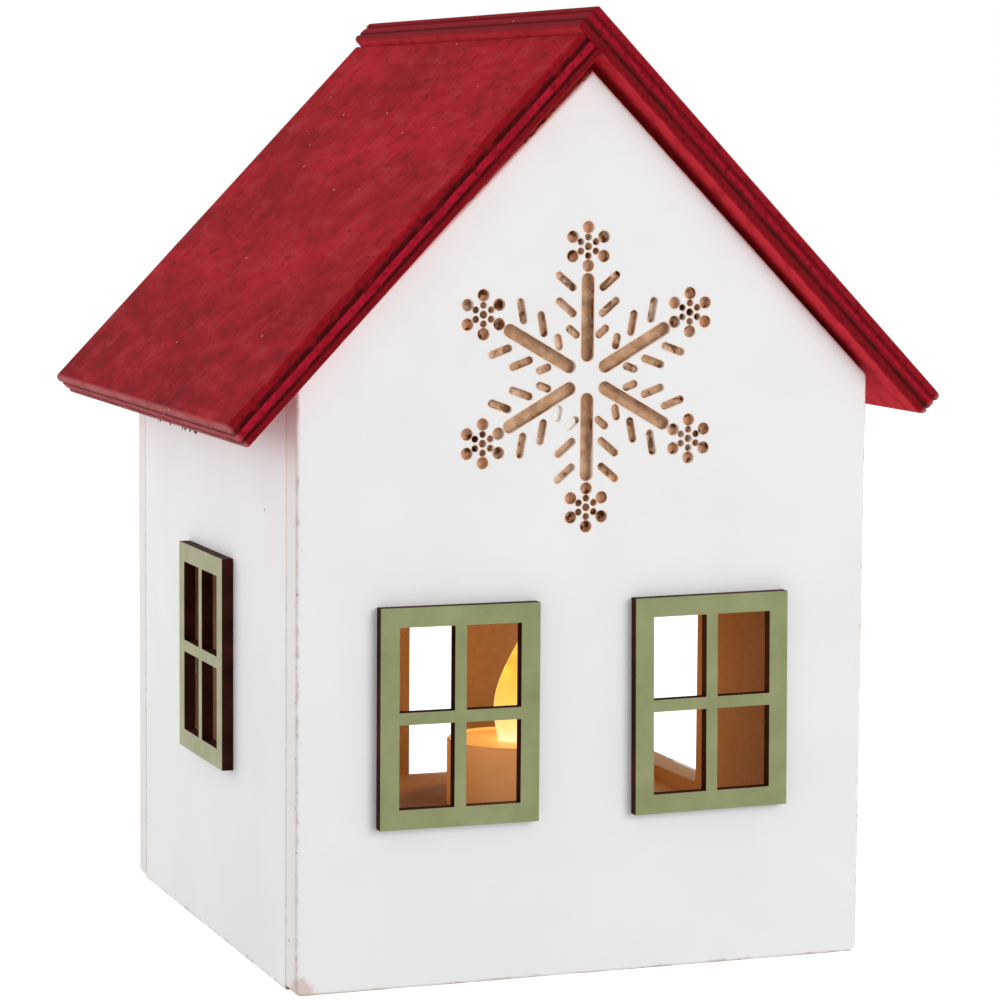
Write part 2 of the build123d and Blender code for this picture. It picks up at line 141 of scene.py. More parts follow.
# a glue line shows where the side walls butt against the gables, and the gables' sawn ends are duller
from_seam = add(tree, "Math", {0: under_y, 1: gable_thickness}, operation="SUBTRACT")
seam_reach = add(tree, "Math", {0: from_seam}, operation="ABSOLUTE")
seam = add(tree, "MapRange", {"Value": seam_reach, "From Min": 0.8 * MM, "From Max": 0.1 * MM})
on_side = add(tree, "MapRange", {"Value": under_x, "From Min": 0.5 * MM, "From Max": 0.2 * MM})
seam_line = add(tree, "Math", {0: seam, 1: on_side}, operation="MULTIPLY")
seam_fill = add(tree, "Math", {0: seam_line, 1: ragged}, operation="MULTIPLY")
seam_coat = add(tree, "Mix", {"Factor": seam_fill, "A": worn_coat, "B": linear("#8F8078")}, data_type="RGBA")
end_strip = add(tree, "MapRange", {
    "Value": from_seam, "From Min": 0.3 * MM, "From Max": -0.3 * MM, "To Max": 0.3})
end_share = add(tree, "Math", {0: end_strip, 1: on_side}, operation="MULTIPLY")
end_coat = add(tree, "Mix", {"Factor": end_share, "A": seam_coat, "B": linear("#D9CEC6")}, data_type="RGBA")
# small chips along arris and seam, a few specks of dirt, and a knock at the front left foot
chips = add(tree, "TexVoronoi", {"Vector": place, "Scale": 1 / (2.2 * MM)})
chip_zone = add(tree, "Math", {0: worn_zone, 1: seam_line}, operation="MAXIMUM")
chip_size = add(tree, "MapRange", {"Value": chips.outputs["Distance"], "From Min": 0.19, "From Max": 0.10})
chip_pick = add(tree, "Math", {0: chips.outputs["Color"], 1: chips_left_out}, operation="GREATER_THAN")
chip_here = add(tree, "Math", {0: chip_zone, 1: chip_pick}, operation="MULTIPLY")
chip = add(tree, "Math", {0: chip_here, 1: chip_size}, operation="MULTIPLY")
specks = add(tree, "TexVoronoi", {"Vector": place, "Scale": 1 / (11 * MM)})
speck_size = add(tree, "MapRange", {
    "Value": specks.outputs["Distance"], "From Min": 0.045, "From Max": 0.025})
speck_pick = add(tree, "Math", {0: specks.outputs["Color"], 1: specks_left_out}, operation="GREATER_THAN")
speck = add(tree, "Math", {0: speck_size, 1: speck_pick}, operation="MULTIPLY")
marks = add(tree, "Math", {0: chip, 1: speck}, operation="MAXIMUM")
to_corner = add(tree, "VectorMath", {0: place, 1: knocked_corner}, operation="DISTANCE")
knock_shift = add(tree, "Math", {0: ragged, 1: knock_ragged}, operation="MULTIPLY")
knock_reach = add(tree, "Math", {0: to_corner, 1: knock_shift}, operation="ADD")
knocked = add(tree, "MapRange", {
    "Value": knock_reach, "From Min": 8 * MM, "From Max": 6.5 * MM, "To Max": 0.75})
knocked_coat = add(tree, "Mix", {"Factor": knocked, "A": end_coat, "B": linear("#CFBBAE")}, data_type="RGBA")
marked_coat = add(tree, "Mix", {"Factor": marks, "A": knocked_coat, "B": linear("#57463F")}, data_type="RGBA")
# under the paint and on the insides the board is brown
bare = add(tree, "ValToRGB", {"Fac": fibres}, stops=[(0.3, "#BC9A74"), (0.72, "#D0B08C")])
bare_stained = add(tree, "Mix", {"Factor": stains, "A": bare, "B": linear("#B8966E")}, data_type="RGBA")
# the router's cuts are a fresher brown, burnt and dusty in the flowers and barbs and calmer in the spars
routed_depth = add(tree, "MapRange", {
    "Value": under_y, "From Min": routed_limit + 0.8 * MM, "From Max": routed_limit})
above_windows = add(tree, "Math", {0: split.outputs["Z"], 1: window_heads}, operation="GREATER_THAN")
routed = add(tree, "Math", {0: routed_depth, 1: above_windows}, operation="MULTIPLY")
fresh = add(tree, "ValToRGB", {"Fac": ragged}, stops=[
    (0.32, "#997353"), (0.5, "#B48E6C"), (0.68, "#CFAD90")])
in_plane = add(tree, "VectorMath", {0: place, 1: (1, 0, 1)}, operation="MULTIPLY")
from_hub = add(tree, "VectorMath", {0: in_plane, 1: snowflake_hub}, operation="DISTANCE")
in_flower = add(tree, "MapRange", {
    "Value": from_hub, "From Min": flower_start, "From Max": flower_start + 0.5 * MM,
    "To Min": calm_share, "To Max": 1.0})
in_barb = add(tree, "MapRange", {
    "Value": under_y, "From Min": barb_limit + 0.2 * MM, "From Max": barb_limit, "To Max": 0.8})
marked = add(tree, "Math", {0: in_flower, 1: in_barb}, operation="MAXIMUM")
# painted light: the cut floors are mixed towards a pale orange, a little in the spars and most in the
# flowers, to lift the shade in the narrow, deep holes
painted_light_share = add(tree, "MapRange", {
    "Value": in_flower, "From Min": calm_share, "To Min": 0.3, "To Max": 0.85})
fresh_with_painted_light = add(tree, "Mix", {"Factor": painted_light_share, "A": fresh, "B": linear("#F4C49C")}, data_type="RGBA")
burns = add(tree, "TexNoise", {"Vector": place, "Scale": 1 / (2.8 * MM), "Detail": 2})
burn_patch = add(tree, "MapRange", {"Value": burns, "From Min": 0.50, "From Max": 0.58})
burn = add(tree, "Math", {0: burn_patch, 1: marked}, operation="MULTIPLY")
burnt = add(tree, "Mix", {"Factor": burn, "A": fresh_with_painted_light, "B": linear("#6E3A18")}, data_type="RGBA")
dust = add(tree, "TexNoise", {"Vector": place, "Scale": 1 / (3.4 * MM), "Detail": 3})
dust_patch = add(tree, "MapRange", {"Value": dust, "From Min": 0.53, "From Max": 0.64, "To Max": 0.8})
dusting = add(tree, "Math", {0: dust_patch, 1: marked}, operation="MULTIPLY")
routed_colour = add(tree, "Mix", {"Factor": dusting, "A": burnt, "B": linear("#ECD2BC")}, data_type="RGBA")
board_colour = add(tree, "Mix", {"Factor": routed, "A": bare_stained, "B": routed_colour}, data_type="RGBA")
# the paint ends raggedly half a millimetre in, floods a few barbs, and is warmer on the cuts' rims
edge_shift = add(tree, "Math", {0: ragged, 1: paint_ragged}, operation="MULTIPLY")
skin_depth = add(tree, "Math", {0: under_skin, 1: edge_shift}, operation="ADD")
flooded = add(tree, "MapRange", {"Value": stains, "From Min": 0.50, "From Max": 0.58, "To Max": 1.0 * MM})
paint_depth = add(tree, "Math", {0: skin_depth, 1: flooded}, operation="SUBTRACT")
coated = add(tree, "MapRange", {"Value": paint_depth, "From Min": 0.62 * MM, "From Max": 0.42 * MM})
surface = add(tree, "NewGeometry")
eased = add(tree, "Bevel", {"Radius": 1.0 * MM}, samples=4)
squareness = add(tree, "VectorMath", {0: eased, 1: surface.outputs["Normal"]}, operation="DOT_PRODUCT")
rim = add(tree, "MapRange", {"Value": squareness, "From Min": 0.99, "From Max": 0.8, "To Max": 0.9})
rim_here = add(tree, "Math", {0: rim, 1: above_windows}, operation="MULTIPLY")
rim_coat = add(tree, "Mix", {"Factor": rim_here, "A": marked_coat, "B": linear("#F1D3BD")}, data_type="RGBA")
colour = add(tree, "Mix", {"Factor": coated, "A": board_colour, "B": rim_coat}, data_type="RGBA")
roughness = add(tree, "MapRange", {"Value": coated, "To Min": 0.85, "To Max": 0.55})
seam_dip = add(tree, "Math", {0: seam_line, 1: -seam_depth}, operation="MULTIPLY")
relief = add(tree, "Math", {0: stipple, 1: seam_dip}, operation="ADD")
bump = add(tree, "Bump", {"Strength": 0.25, "Distance": 0.1 * MM, "Height": relief})
shader = add(tree, "BsdfPrincipled", {
    "Base Color": colour, "Roughness": roughness, "Specular IOR Level": 0.25, "Normal": bump})
dress(white_paint, shader, "front_panel", "back_panel", "left_wall", "right_wall")

# Floor: a square of the same board, left bare and glued in between the walls.
# Its sawn face is brown and a little darker where hands and glue have marked it.

# Sawn fibreboard: dull and even, with short fibres drawn coarser than they are so that they show
bare_board, tree = new_material("bare_sawn_fibreboard")
place = add(tree, "TexCoord").outputs["Object"]
fibres = add(tree, "TexNoise", {"Vector": place, "Scale": 1 / (1.6 * MM), "Detail": 6})
stains = add(tree, "TexNoise", {"Vector": place, "Scale": 1 / (20 * MM), "Detail": 3})
bare = add(tree, "ValToRGB", {"Fac": fibres}, stops=[(0.3, "#CEAC86"), (0.72, "#E0C09D")])
colour = add(tree, "Mix", {"Factor": stains, "A": bare, "B": linear("#C29E76")}, data_type="RGBA")
bump = add(tree, "Bump", {"Strength": 0.3, "Distance": 0.15 * MM, "Height": fibres})
shader = add(tree, "BsdfPrincipled", {
    "Base Color": colour, "Roughness": 0.85, "Specular IOR Level": 0.2, "Normal": bump})
dress(bare_board, shader, "floor_panel")

# Roof: two slabs of five-ply birch, butted at the ridge, wiped with a translucent red stain and glued on.
# The face shows its grain down the slope; the cross plies soak up more stain and show as dark bands.
# the slabs' undersides meet at the ridge point
ridge_point = Vector((middle_x - 0.45 * MM, 0.0, 234.5 * MM))
slab_thickness = 7.8 * MM
# the share of the painted highlight flecks on the roof that is left out
dent_glints_left_out = 0.6
# the colours of the sawn edges from the underside up, by share of the thickness; the first, bright red stop
# also colours the underside, as painted light on the shaded overhang
left_plies = [
    (0.0, "#D83440"), (0.04, "#93151F"), (0.08, "#74101A"), (0.24, "#7C111B"),
    (0.27, "#470D10"), (0.34, "#4C0E12"), (0.37, "#A0152A"), (0.58, "#AE182E"),
    (0.61, "#400B0D"), (0.74, "#4A0D10"), (0.80, "#84121D"), (1.0, "#95141F")]
right_plies = [
    (0.0, "#D83440"), (0.03, "#A81A28"), (0.09, "#82151C"), (0.24, "#74161A"),
    (0.28, "#551214"), (0.34, "#5C1517"), (0.40, "#64141A"), (0.52, "#A8172A"),
    (0.60, "#9A1526"), (0.63, "#6E1019"), (0.72, "#8A1420"), (1.0, "#981823")]
# how far each ply is rubbed at the eave, by the same shares
rubbed_plies = [
    (0.0, "#F4F4F4"), (0.23, "#F4F4F4"), (0.28, "#8C8C8C"), (0.36, "#B4B4B4"), (0.56, "#B8B8B8"),
    (0.62, "#8C8C8C"), (0.74, "#8C8C8C"), (0.80, "#D0D0D0"), (1.0, "#D8D8D8")]
# each slab's side, its pitch in degrees, its length down the slope and its plies
slopes = {
    "roof_left": (-1, 46.50, 132.85 * MM, left_plies),
    "roof_right": (1, 45.49, 129.02 * MM, right_plies),
}
for slab, (side, pitch, slope_length, plies) in slopes.items():
    # Stain wiped on plywood: a dull deep red, cloudy and streaked, with pores and plies still showing
    red_stain, tree = new_material(f"red_stain_on_plywood_{slab}")
    run, drop = math.cos(math.radians(pitch)), math.sin(math.radians(pitch))
    place = add(tree, "TexCoord").outputs["Object"]
    offset = add(tree, "VectorMath", {0: place, 1: ridge_point}, operation="SUBTRACT")
    along = add(tree, "VectorMath", {0: offset, 1: (side * run, 0, -drop)}, operation="DOT_PRODUCT")
    height = add(tree, "VectorMath", {0: offset, 1: (side * drop, 0, run)}, operation="DOT_PRODUCT")
    split = add(tree, "SeparateXYZ", {"Vector": offset})
    local = add(tree, "CombineXYZ", {"X": along, "Y": split.outputs["Y"], "Z": height})
    level = add(tree, "Math", {0: height, 1: slab_thickness}, operation="DIVIDE")
    from_eave = add(tree, "Math", {0: slope_length, 1: along}, operation="SUBTRACT")
    # grain lines half a millimetre apart, drawn 2 mm apart and about 12 mm long so that they show
    stretched = add(tree, "VectorMath", {0: local, 1: (0.16, 1.0, 1.0)}, operation="MULTIPLY")
    grain = add(tree, "TexNoise", {
        "Vector": stretched, "Scale": 1 / (2.0 * MM), "Detail": 6, "Roughness": 0.65})
    # the stain was wiped along the ridge, so its patches are two to three times as long that way
    wiped = add(tree, "VectorMath", {0: local, 1: (1.0, 0.4, 1.0)}, operation="MULTIPLY")
    clouds = add(tree, "TexNoise", {"Vector": wiped, "Scale": 1 / (26 * MM), "Detail": 4})
    patches = add(tree, "TexNoise", {
        "Vector": wiped, "Scale": 1 / (5.5 * MM), "Detail": 5, "Roughness": 0.6})
    pits = add(tree, "TexNoise", {"Vector": wiped, "Scale": 1 / (1.8 * MM), "Detail": 3})
    face = add(tree, "ValToRGB", {"Fac": clouds}, stops=[(0.3, "#8E0C18"), (0.7, "#B91A27")])
    haze = add(tree, "MapRange", {"Value": patches, "From Min": 0.47, "From Max": 0.33, "To Max": 0.33})
    hazy = add(tree, "Mix", {"Factor": haze, "A": face, "B": linear("#B8434C")}, data_type="RGBA")
    pale_line = add(tree, "MapRange", {"Value": grain, "From Min": 0.56, "From Max": 0.70, "To Max": 0.45})
    pale_grain = add(tree, "Mix", {"Factor": pale_line, "A": hazy, "B": linear("#C03C46")}, data_type="RGBA")
    dark_line = add(tree, "MapRange", {"Value": grain, "From Min": 0.44, "From Max": 0.30, "To Max": 0.45})
    dark_grain = add(tree, "Mix", {
        "Factor": dark_line, "A": pale_grain, "B": linear("#680B14")}, data_type="RGBA")
    # dabs of thicker stain, more of them towards the eave, and dark pores, drawn coarser so that they show
    near_eave = add(tree, "MapRange", {
        "Value": from_eave, "From Min": 40 * MM, "From Max": 4 * MM, "To Max": 0.07})
    dab_sum = add(tree, "Math", {0: patches, 1: near_eave}, operation="ADD")
    dab = add(tree, "MapRange", {"Value": dab_sum, "From Min": 0.51, "From Max": 0.66, "To Max": 0.45})
    dabbed = add(tree, "Mix", {"Factor": dab, "A": dark_grain, "B": linear("#6C0C15")}, data_type="RGBA")
    pore = add(tree, "MapRange", {"Value": pits, "From Min": 0.58, "From Max": 0.68, "To Max": 0.50})
    pored = add(tree, "Mix", {"Factor": pore, "A": dabbed, "B": linear("#5A0A12")}, data_type="RGBA")
    # the sawn edges show the five plies, not quite straight, soaked in places and even at the ridge
    wander = add(tree, "TexNoise", {"Vector": local, "Scale": 1 / (5 * MM), "Detail": 2})
    sway = add(tree, "MapRange", {
        "Value": wander, "From Min": 0.3, "From Max": 0.7, "To Min": -0.018, "To Max": 0.018})
    swayed = add(tree, "Math", {0: level, 1: sway}, operation="ADD")
    plain_ply = add(tree, "ValToRGB", {"Fac": swayed}, stops=plies)
    above_underside = add(tree, "MapRange", {"Value": level, "From Min": 0.02, "From Max": 0.1})
    below_ridge_end = add(tree, "MapRange", {
        "Value": along, "From Min": -9.2 * MM, "From Max": -7.0 * MM})
    on_ply_edge = add(tree, "Math", {0: above_underside, 1: below_ridge_end}, operation="MULTIPLY")
    soak_patch = add(tree, "MapRange", {"Value": wander, "From Min": 0.48, "From Max": 0.62, "To Max": 0.6})
    soaked = add(tree, "Math", {0: soak_patch, 1: on_ply_edge}, operation="MULTIPLY")
    soaked_ply = add(tree, "Mix", {
        "Factor": soaked, "A": plain_ply, "B": linear("#86121E")}, data_type="RGBA")
    even_share = add(tree, "MapRange", {"Value": below_ridge_end, "To Min": 0.55, "To Max": 0.0})
    ply_edge = add(tree, "Mix", {
        "Factor": even_share, "A": soaked_ply, "B": linear("#861420")}, data_type="RGBA")
    pitted = add(tree, "MapRange", {"Value": pits, "From Min": 0.50, "From Max": 0.66, "To Max": 0.6})
    mottle = add(tree, "Math", {0: pitted, 1: on_ply_edge}, operation="MULTIPLY")
    mottled = add(tree, "Mix", {"Factor": mottle, "A": ply_edge, "B": linear("#4C1010")}, data_type="RGBA")
    on_face = add(tree, "MapRange", {"Value": level, "From Min": 0.90, "From Max": 0.97})
    stained = add(tree, "Mix", {"Factor": on_face, "A": mottled, "B": pored}, data_type="RGBA")
    # hands have rubbed the eave's edge pale, and small pale flecks are painted highlights, dents catching the
    # light
    rubbed_zone = add(tree, "MapRange", {"Value": from_eave, "From Min": 1.3 * MM, "From Max": 0.3 * MM})
    rubbed_ply = add(tree, "ValToRGB", {"Fac": swayed}, stops=rubbed_plies)
    rubbed = add(tree, "Math", {0: rubbed_zone, 1: rubbed_ply}, operation="MULTIPLY")
    rubbed_patch = add(tree, "MapRange", {
        "Value": patches, "From Min": 0.35, "From Max": 0.6, "To Min": 0.45, "To Max": 0.85})
    rubbed_share = add(tree, "Math", {0: rubbed, 1: rubbed_patch}, operation="MULTIPLY")
    sanded = add(tree, "Mix", {
        "Factor": rubbed_share, "A": stained, "B": linear("#CC7F80")}, data_type="RGBA")
    # painted highlights: pale pink flecks where small dents would catch the light
    dent_glints = add(tree, "TexVoronoi", {"Vector": local, "Scale": 1 / (7 * MM)})
    dent_glint_size = add(tree, "MapRange", {
        "Value": dent_glints.outputs["Distance"], "From Min": 0.06, "From Max": 0.035})
    dent_glint_pick = add(tree, "Math", {0: dent_glints.outputs["Color"], 1: dent_glints_left_out}, operation="GREATER_THAN")
    dent_glint = add(tree, "Math", {0: dent_glint_size, 1: dent_glint_pick}, operation="MULTIPLY")
    colour = add(tree, "Mix", {"Factor": dent_glint, "A": sanded, "B": linear("#D9A8A0")}, data_type="RGBA")
    relief = add(tree, "Math", {0: grain, 1: mottle}, operation="SUBTRACT")
    bump = add(tree, "Bump", {"Strength": 0.45, "Distance": 0.15 * MM, "Height": relief})
    shader = add(tree, "BsdfPrincipled", {
        "Base Color": colour, "Roughness": 0.75, "Specular IOR Level": 0.03, "Normal": bump})
    dress(red_stain, shader, slab)

# Torn fibres: slivers of the bottom ply hang under the left eave, where the saw left the board.
# They took up the stain and dried almost black; each is a thin wedge rooted in the ply.
left_pitch = math.radians(slopes["roof_left"][1])
left_length = slopes["roof_left"][2]
roof_low, roof_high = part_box("roof_left")
roof_depth = roof_high.y - roof_low.y
# the slivers hang in two clumps, the second twice as full, at these shares of the depth from the back
sliver_count = 12
clumps = (0.52, 0.66, 0.66)
clump_spread = 0.09


def on_left_slab(along, y, height):
    """A point by its way down the left slope, its y and its height over the underside."""
    down = Vector((-math.cos(left_pitch), 0, -math.sin(left_pitch))) * along
    out = Vector((-math.sin(left_pitch), 0, math.cos(left_pitch))) * height
    spot = ridge_point + down + out
    return (spot.x, y, spot.z)


dice = random.Random(4)
corners, sides = [], []
for sliver in range(sliver_count):
    clump = clumps[sliver % len(clumps)]
    y = roof_high.y - (clump + clump_spread * dice.random()) * roof_depth
    # 1.2 to 3.8 mm wide at three points in the ply, and hanging 0.1 to 0.8 mm below it
    width = (1.2 + 2.6 * dice.random()) * MM
    hang = (0.1 + 0.7 * dice.random() ** 2) * MM
    root = len(corners)
    corners += [
        on_left_slab(left_length - 0.4 * MM, y, 0.7 * MM),
        on_left_slab(left_length - 0.9 * MM, y + width, 0.5 * MM),
        on_left_slab(left_length - 1.6 * MM, y + width / 2, 0.4 * MM),
        on_left_slab(left_length + 0.1 * MM, y + width * dice.random(), -hang),
    ]
    sides += [[root + i for i in side] for side in ((0, 1, 2), (0, 3, 1), (1, 3, 2), (2, 3, 0))]
fibre_mesh = bpy.data.meshes.new("torn_fibres")
fibre_mesh.from_pydata(corners, [], sides)
# Stain in end grain: almost black, with a red cast where it is thinner
dark_fibre, tree = new_material("red_stain_on_torn_end_grain")
place = add(tree, "TexCoord").outputs["Object"]
soak = add(tree, "TexNoise", {"Vector": place, "Scale": 1 / (0.8 * MM), "Detail": 3})
colour = add(tree, "ValToRGB", {"Fac": soak}, stops=[(0.35, "#1C0808"), (0.65, "#5A1218")])
shader = add(tree, "BsdfPrincipled", {"Base Color": colour, "Roughness": 0.85, "Specular IOR Level": 0.1})
dress(dark_fibre, shader)
fibre_mesh.materials.append(dark_fibre)
torn_fibres = bpy.data.objects.new("torn_fibres", fibre_mesh)
bpy.context.scene.collection.objects.link(torn_fibres)
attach(torn_fibres, "house")

# Window frames: 3 mm board cut by laser and glued over the openings, sage green paint on the face.
# The beam leaves every cut edge scorched dark brown, here painted darker still as painted shade, and the left
# frame's paint has faded.
sage = ("#8A8F64", "#999D73")
faded_sage = ("#A5A484", "#B6B495")
window_frames = {
    "window_frame_front_left": ((0, -1, 0), sage),
    "window_frame_front_right": ((0, -1, 0), sage),
    "window_frame_left": ((-1, 0, 0), faded_sage),
}
for frame_name, (facing, coat) in window_frames.items():
    # Rolled paint and charred edge: the face is dull and softly blotched, the edge a deep brown of scorch and
    # painted shade
    sage_paint, tree = new_material(f"sage_paint_on_laser_cut_board_{frame_name}")
    place = add(tree, "TexCoord").outputs["Object"]
    surface = add(tree, "NewGeometry")
    square_on = add(tree, "VectorMath", {0: surface.outputs["Normal"], 1: facing}, operation="DOT_PRODUCT")
    blotches = add(tree, "TexNoise", {"Vector": place, "Scale": 1 / (9 * MM), "Detail": 4})
    stipple = add(tree, "TexNoise", {"Vector": place, "Scale": 1 / (0.9 * MM), "Detail": 4})
    paint = add(tree, "ValToRGB", {"Fac": blotches}, stops=[(0.3, coat[0]), (0.7, coat[1])])
    # scorch and painted shade: the cut edges' dark brown is darkened further for the shade on them
    scorch_and_painted_shade = add(tree, "ValToRGB", {"Fac": blotches}, stops=[(0.35, "#240A04"), (0.65, "#461B0D")])
    painted = add(tree, "MapRange", {"Value": square_on, "From Min": 0.80, "From Max": 0.95})
    colour = add(tree, "Mix", {"Factor": painted, "A": scorch_and_painted_shade, "B": paint}, data_type="RGBA")
    bump = add(tree, "Bump", {"Strength": 0.2, "Distance": 0.08 * MM, "Height": stipple})
    shader = add(tree, "BsdfPrincipled", {
        "Base Color": colour, "Roughness": 0.65, "Specular IOR Level": 0.08, "Normal": bump})
    dress(sage_paint, shader, frame_name)

# Tealight cup, base and battery door: ivory polypropylene, injection moulded and snapped together.
# The thin wall lets the warm light of the diode through; this is painted on as a glow, most of all round the
# flame.
flame_low, flame_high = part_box("flame_bulb")
cup_low, cup_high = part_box("tealight_cup")
scatter = (4.0 * MM, 2.4 * MM, 1.2 * MM)

# Moulded polypropylene: waxy and softly shining, with light spread inside it
# The mould's grit is finer than this and is drawn coarser so that it shows
ivory, tree = new_material("ivory_moulded_polypropylene")
place = add(tree, "TexCoord").outputs["Object"]
grit = add(tree, "TexNoise", {"Vector": place, "Scale": 1 / (0.6 * MM), "Detail": 3})
swirl = add(tree, "TexNoise", {"Vector": place, "Scale": 1 / (12 * MM), "Detail": 2})
colour = add(tree, "ValToRGB", {"Fac": swirl}, stops=[(0.3, "#DFC79A"), (0.7, "#E8D5AB")])
split = add(tree, "SeparateXYZ", {"Vector": place})
surface = add(tree, "NewGeometry")
facing = add(tree, "SeparateXYZ", {"Vector": surface.outputs["Normal"]})
# painted light: the walls glow, more towards the top, for the diode's light shining through
on_wall = add(tree, "MapRange", {"Value": facing.outputs["Z"], "From Min": 0.8, "From Max": 0.3})
lit_height = add(tree, "MapRange", {
    "Value": split.outputs["Z"], "From Min": cup_low.z, "From Max": cup_high.z,
    "To Min": 0.14, "To Max": 0.34})
painted_glow = add(tree, "Math", {0: on_wall, 1: lit_height}, operation="MULTIPLY")
bump = add(tree, "Bump", {"Strength": 0.12, "Distance": 0.05 * MM, "Height": grit})
shader = add(tree, "BsdfPrincipled", {
    "Base Color": colour, "Roughness": 0.42, "Normal": bump,
    "Subsurface Weight": 0.35, "Subsurface Radius": scatter, "Subsurface Scale": 1.0,
    "Emission Color": linear("#F09A45"), "Emission Strength": painted_glow})
dress(ivory, shader, "tealight_cup", "tealight_base", "battery_door")

# Flame: a leaning teardrop of milky polypropylene pushed up through the deck, lit from inside.
# It is brightest low down, over the diode, and deepens to amber at the tip.
cloud_weight = 0.15

# Milky polypropylene: an even glow that hides the diode, with faint clouds
glowing, tree = new_material("milky_polypropylene_lit_from_inside")
place = add(tree, "TexCoord").outputs["Object"]
split = add(tree, "SeparateXYZ", {"Vector": place})
rise = add(tree, "MapRange", {
    "Value": split.outputs["Z"], "From Min": cup_high.z, "From Max": flame_high.z})
cloud = add(tree, "TexNoise", {"Vector": place, "Scale": 1 / (5 * MM), "Detail": 3})
cloud_part = add(tree, "Math", {0: cloud, 1: cloud_weight}, operation="MULTIPLY")
shade = add(tree, "Math", {0: rise, 1: cloud_part}, operation="ADD")
light = add(tree, "ValToRGB", {"Fac": shade}, stops=[
    (0.0, "#FFEFD6"), (0.2, "#FFE294"), (0.45, "#FFD35A"), (0.75, "#F8C044"), (1.0, "#F2AC30")])
shader = add(tree, "BsdfPrincipled", {
    "Base Color": linear("#E6C26E"), "Roughness": 0.4, "Emission Color": light, "Emission Strength": 0.9})
dress(glowing, shader, "flame_bulb")
# the lamp inside has to shine out through it
nodes["flame_bulb"].visible_shadow = False

# Diode: clear epoxy with a faint amber tint, cast round the chip and pushed into the flame's bore.
# It is hidden in use and only shows as the bright foot of the flame.

# Cast epoxy: glassy and clear, alight inside
clear_resin, tree = new_material("clear_cast_epoxy")
place = add(tree, "TexCoord").outputs["Object"]
cloud = add(tree, "TexNoise", {"Vector": place, "Scale": 1 / (1.5 * MM), "Detail": 2})
colour = add(tree, "ValToRGB", {"Fac": cloud}, stops=[(0.3, "#F6E2AE"), (0.7, "#FFF1CC")])
shader = add(tree, "BsdfPrincipled", {
    "Base Color": colour, "Roughness": 0.12, "IOR": 1.54, "Transmission Weight": 0.6,
    "Emission Color": linear("#FFC870"), "Emission Strength": 0.8})
dress(clear_resin, shader, "led")

# Legs, spring contacts, coin cell and screw: thin tinned wire, rolled strip and nickel-plated steel.
# One leg stands on the strip over the cell and the other is bent out to the switch's strip.
# The cell lies between two strips, and the screw holds the battery door.
for metal, tint, names in (
    ("tinned_copper_wire", ("#A9A7A2", "#C9C7C2"), ["led_legs"]),
    ("rolled_spring_strip", ("#A29A8A", "#C6BFAF"), ["upper_contact", "lower_contact", "switch_contact"]),
    ("nickel_plated_steel", ("#A6A6A4", "#CFCFCC"), ["coin_cell", "battery_door_screw"]),
):
    # Drawn or rolled metal: a soft shine broken by fine lines, drawn coarser than they are
    plated, tree = new_material(metal)
    place = add(tree, "TexCoord").outputs["Object"]
    drawn = add(tree, "VectorMath", {0: place, 1: (0.1, 1.0, 1.0)}, operation="MULTIPLY")
    lines = add(tree, "TexNoise", {"Vector": drawn, "Scale": 1 / (0.4 * MM), "Detail": 3})
    colour = add(tree, "ValToRGB", {"Fac": lines}, stops=[(0.3, tint[0]), (0.7, tint[1])])
    roughness = add(tree, "MapRange", {"Value": lines, "To Min": 0.22, "To Max": 0.42})
    shader = add(tree, "BsdfPrincipled", {"Base Color": colour, "Metallic": 1.0, "Roughness": roughness})
    dress(plated, shader, *names)

# Switch: a black nylon slider with ribs for a fingernail, moulded in one piece.
# Its flange holds it in the base's slot, and it slides from off to on.

# Moulded nylon: dull black with the mould's fine grain, drawn coarser so that it shows
black_nylon, tree = new_material("black_moulded_nylon")
place = add(tree, "TexCoord").outputs["Object"]
grit = add(tree, "TexNoise", {"Vector": place, "Scale": 1 / (0.3 * MM), "Detail": 3})
colour = add(tree, "ValToRGB", {"Fac": grit}, stops=[(0.3, "#161616"), (0.7, "#262626")])
bump = add(tree, "Bump", {"Strength": 0.2, "Distance": 0.03 * MM, "Height": grit})
shader = add(tree, "BsdfPrincipled", {"Base Color": colour, "Roughness": 0.5, "Normal": bump})
dress(black_nylon, shader, "switch_slider")

# The diode's light: a small warm lamp up inside the flame.
# It colours the bare board round it and goes where the tealight goes.
lamp_height = 24 * MM
flame_middle = (flame_low + flame_high) / 2
lamp = bpy.data.lights.new("diode_light", "POINT")
lamp.color = linear("#FFAE48")[:3]
lamp.energy = 0.033
lamp.shadow_soft_size = 4 * MM
glow_lamp = bpy.data.objects.new("diode_light", lamp)
glow_lamp.location = (flame_middle.x, flame_middle.y, flame_low.z + lamp_height)
bpy.context.scene.collection.objects.link(glow_lamp)
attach(glow_lamp, "tealight")

# Stage: a wide sheet of pale paper in an even white room.
# A large soft lamp stands at the front right, as the frames' shadows show. Weaker ones at the sides and
# behind reach in by the openings.
floor_mesh = bpy.data.meshes.new("stage_floor")
reach = 4.0
corners = [(-reach, -reach, 0), (reach, -reach, 0), (reach, reach, 0), (-reach, reach, 0)]
floor_mesh.from_pydata(corners, [], [(0, 1, 2, 3)])
stage_floor = bpy.data.objects.new("stage_floor", floor_mesh)
bpy.context.scene.collection.objects.link(stage_floor)
white = linear("#FFFFFF")


def met_by_sight(tree):
    """1 where a ray comes from the camera, a gloss or a glass, so that all of these see white."""
    ray = add(tree, "LightPath").outputs
    seen = add(tree, "Math", {0: ray["Is Camera Ray"], 1: ray["Is Glossy Ray"]}, operation="MAXIMUM")
    return add(tree, "Math", {0: seen, 1: ray["Is Transmission Ray"]}, operation="MAXIMUM")


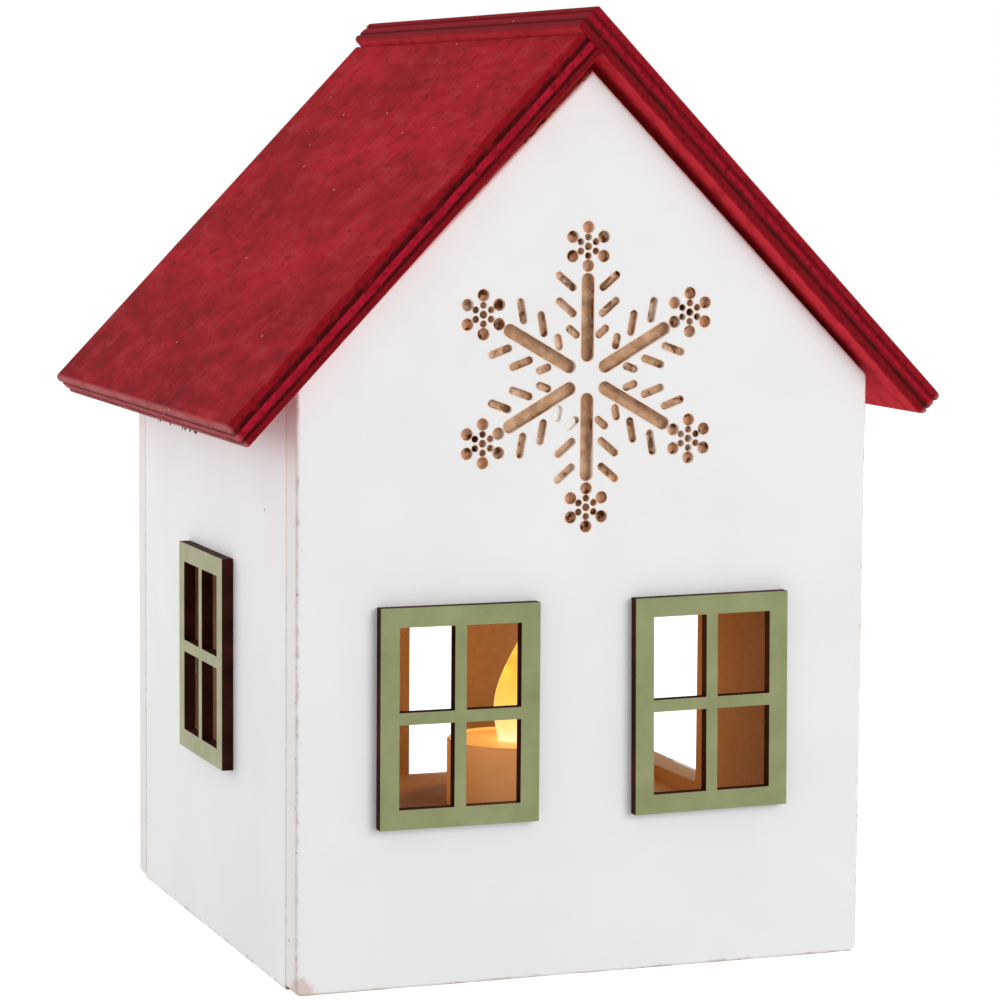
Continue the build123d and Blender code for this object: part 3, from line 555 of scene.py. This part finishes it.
# Studio paper: matt and white, lifted to a clean white to the eye while it keeps the shadow
pale_floor, tree = new_material("pale_studio_paper")
place = add(tree, "TexCoord").outputs["Object"]
paper = add(tree, "TexNoise", {"Vector": place, "Scale": 1 / (40 * MM), "Detail": 3})
colour = add(tree, "ValToRGB", {"Fac": paper}, stops=[(0.3, "#F4F4F4"), (0.7, "#F7F7F7")])
matt = add(tree, "BsdfDiffuse", {"Color": colour})
lift = add(tree, "Emission", {"Color": white, "Strength": 0.62})
lifted = add(tree, "AddShader", {0: matt, 1: lift})
shader = add(tree, "MixShader", {0: met_by_sight(tree), 1: matt, 2: lifted})
dress(pale_floor, shader)
floor_mesh.materials.append(pale_floor)

room = bpy.data.worlds.new("white_room")
room.use_nodes = True
tree = room.node_tree
tree.nodes.clear()
ambient = add(tree, "Background", {"Color": white, "Strength": 0.48})
backdrop = add(tree, "Background", {"Color": white, "Strength": 1.0})
mixed = add(tree, "MixShader", {0: met_by_sight(tree), 1: ambient, 2: backdrop})
add(tree, "OutputWorld", {"Surface": mixed})
bpy.context.scene.world = room

lamps_aim = Vector((0, 0, 0.1))
for name, spot, size, watts in (
    ("key_softbox", (0.95, -1.95, 0.75), 1.2, 22.3),
    ("left_softbox", (-1.9, 0.15, 0.5), 0.9, 4.2),
    ("right_softbox", (1.8, 0.7, 0.5), 0.9, 9.0),
    ("back_softbox", (-1.1, 1.5, 0.6), 1.2, 13.0),
):
    softbox = bpy.data.lights.new(name, "AREA")
    softbox.size = size
    softbox.energy = watts
    held = bpy.data.objects.new(name, softbox)
    held.location = spot
    held.rotation_euler = (lamps_aim - Vector(spot)).to_track_quat("-Z", "Y").to_euler()
    bpy.context.scene.collection.objects.link(held)

# Camera: low and a little to the left of the front, a metre away, with a long lens.
# The place is given from the middle of the house, as in the photograph.
lens = bpy.data.cameras.new("camera")
lens.sensor_width = 36.0
lens.lens = 125.84
lens.shift_x = -0.0080
lens.shift_y = -0.0093
camera = bpy.data.objects.new("camera", lens)
camera.location = (middle_x - 0.3278, middle_y - 0.8953, 0.2170)
camera.rotation_euler = [math.radians(a) for a in (84.014, -0.451, -20.455)]
bpy.context.scene.collection.objects.link(camera)
bpy.context.scene.camera = camera
bpy.context.scene.view_settings.view_transform = "Standard"
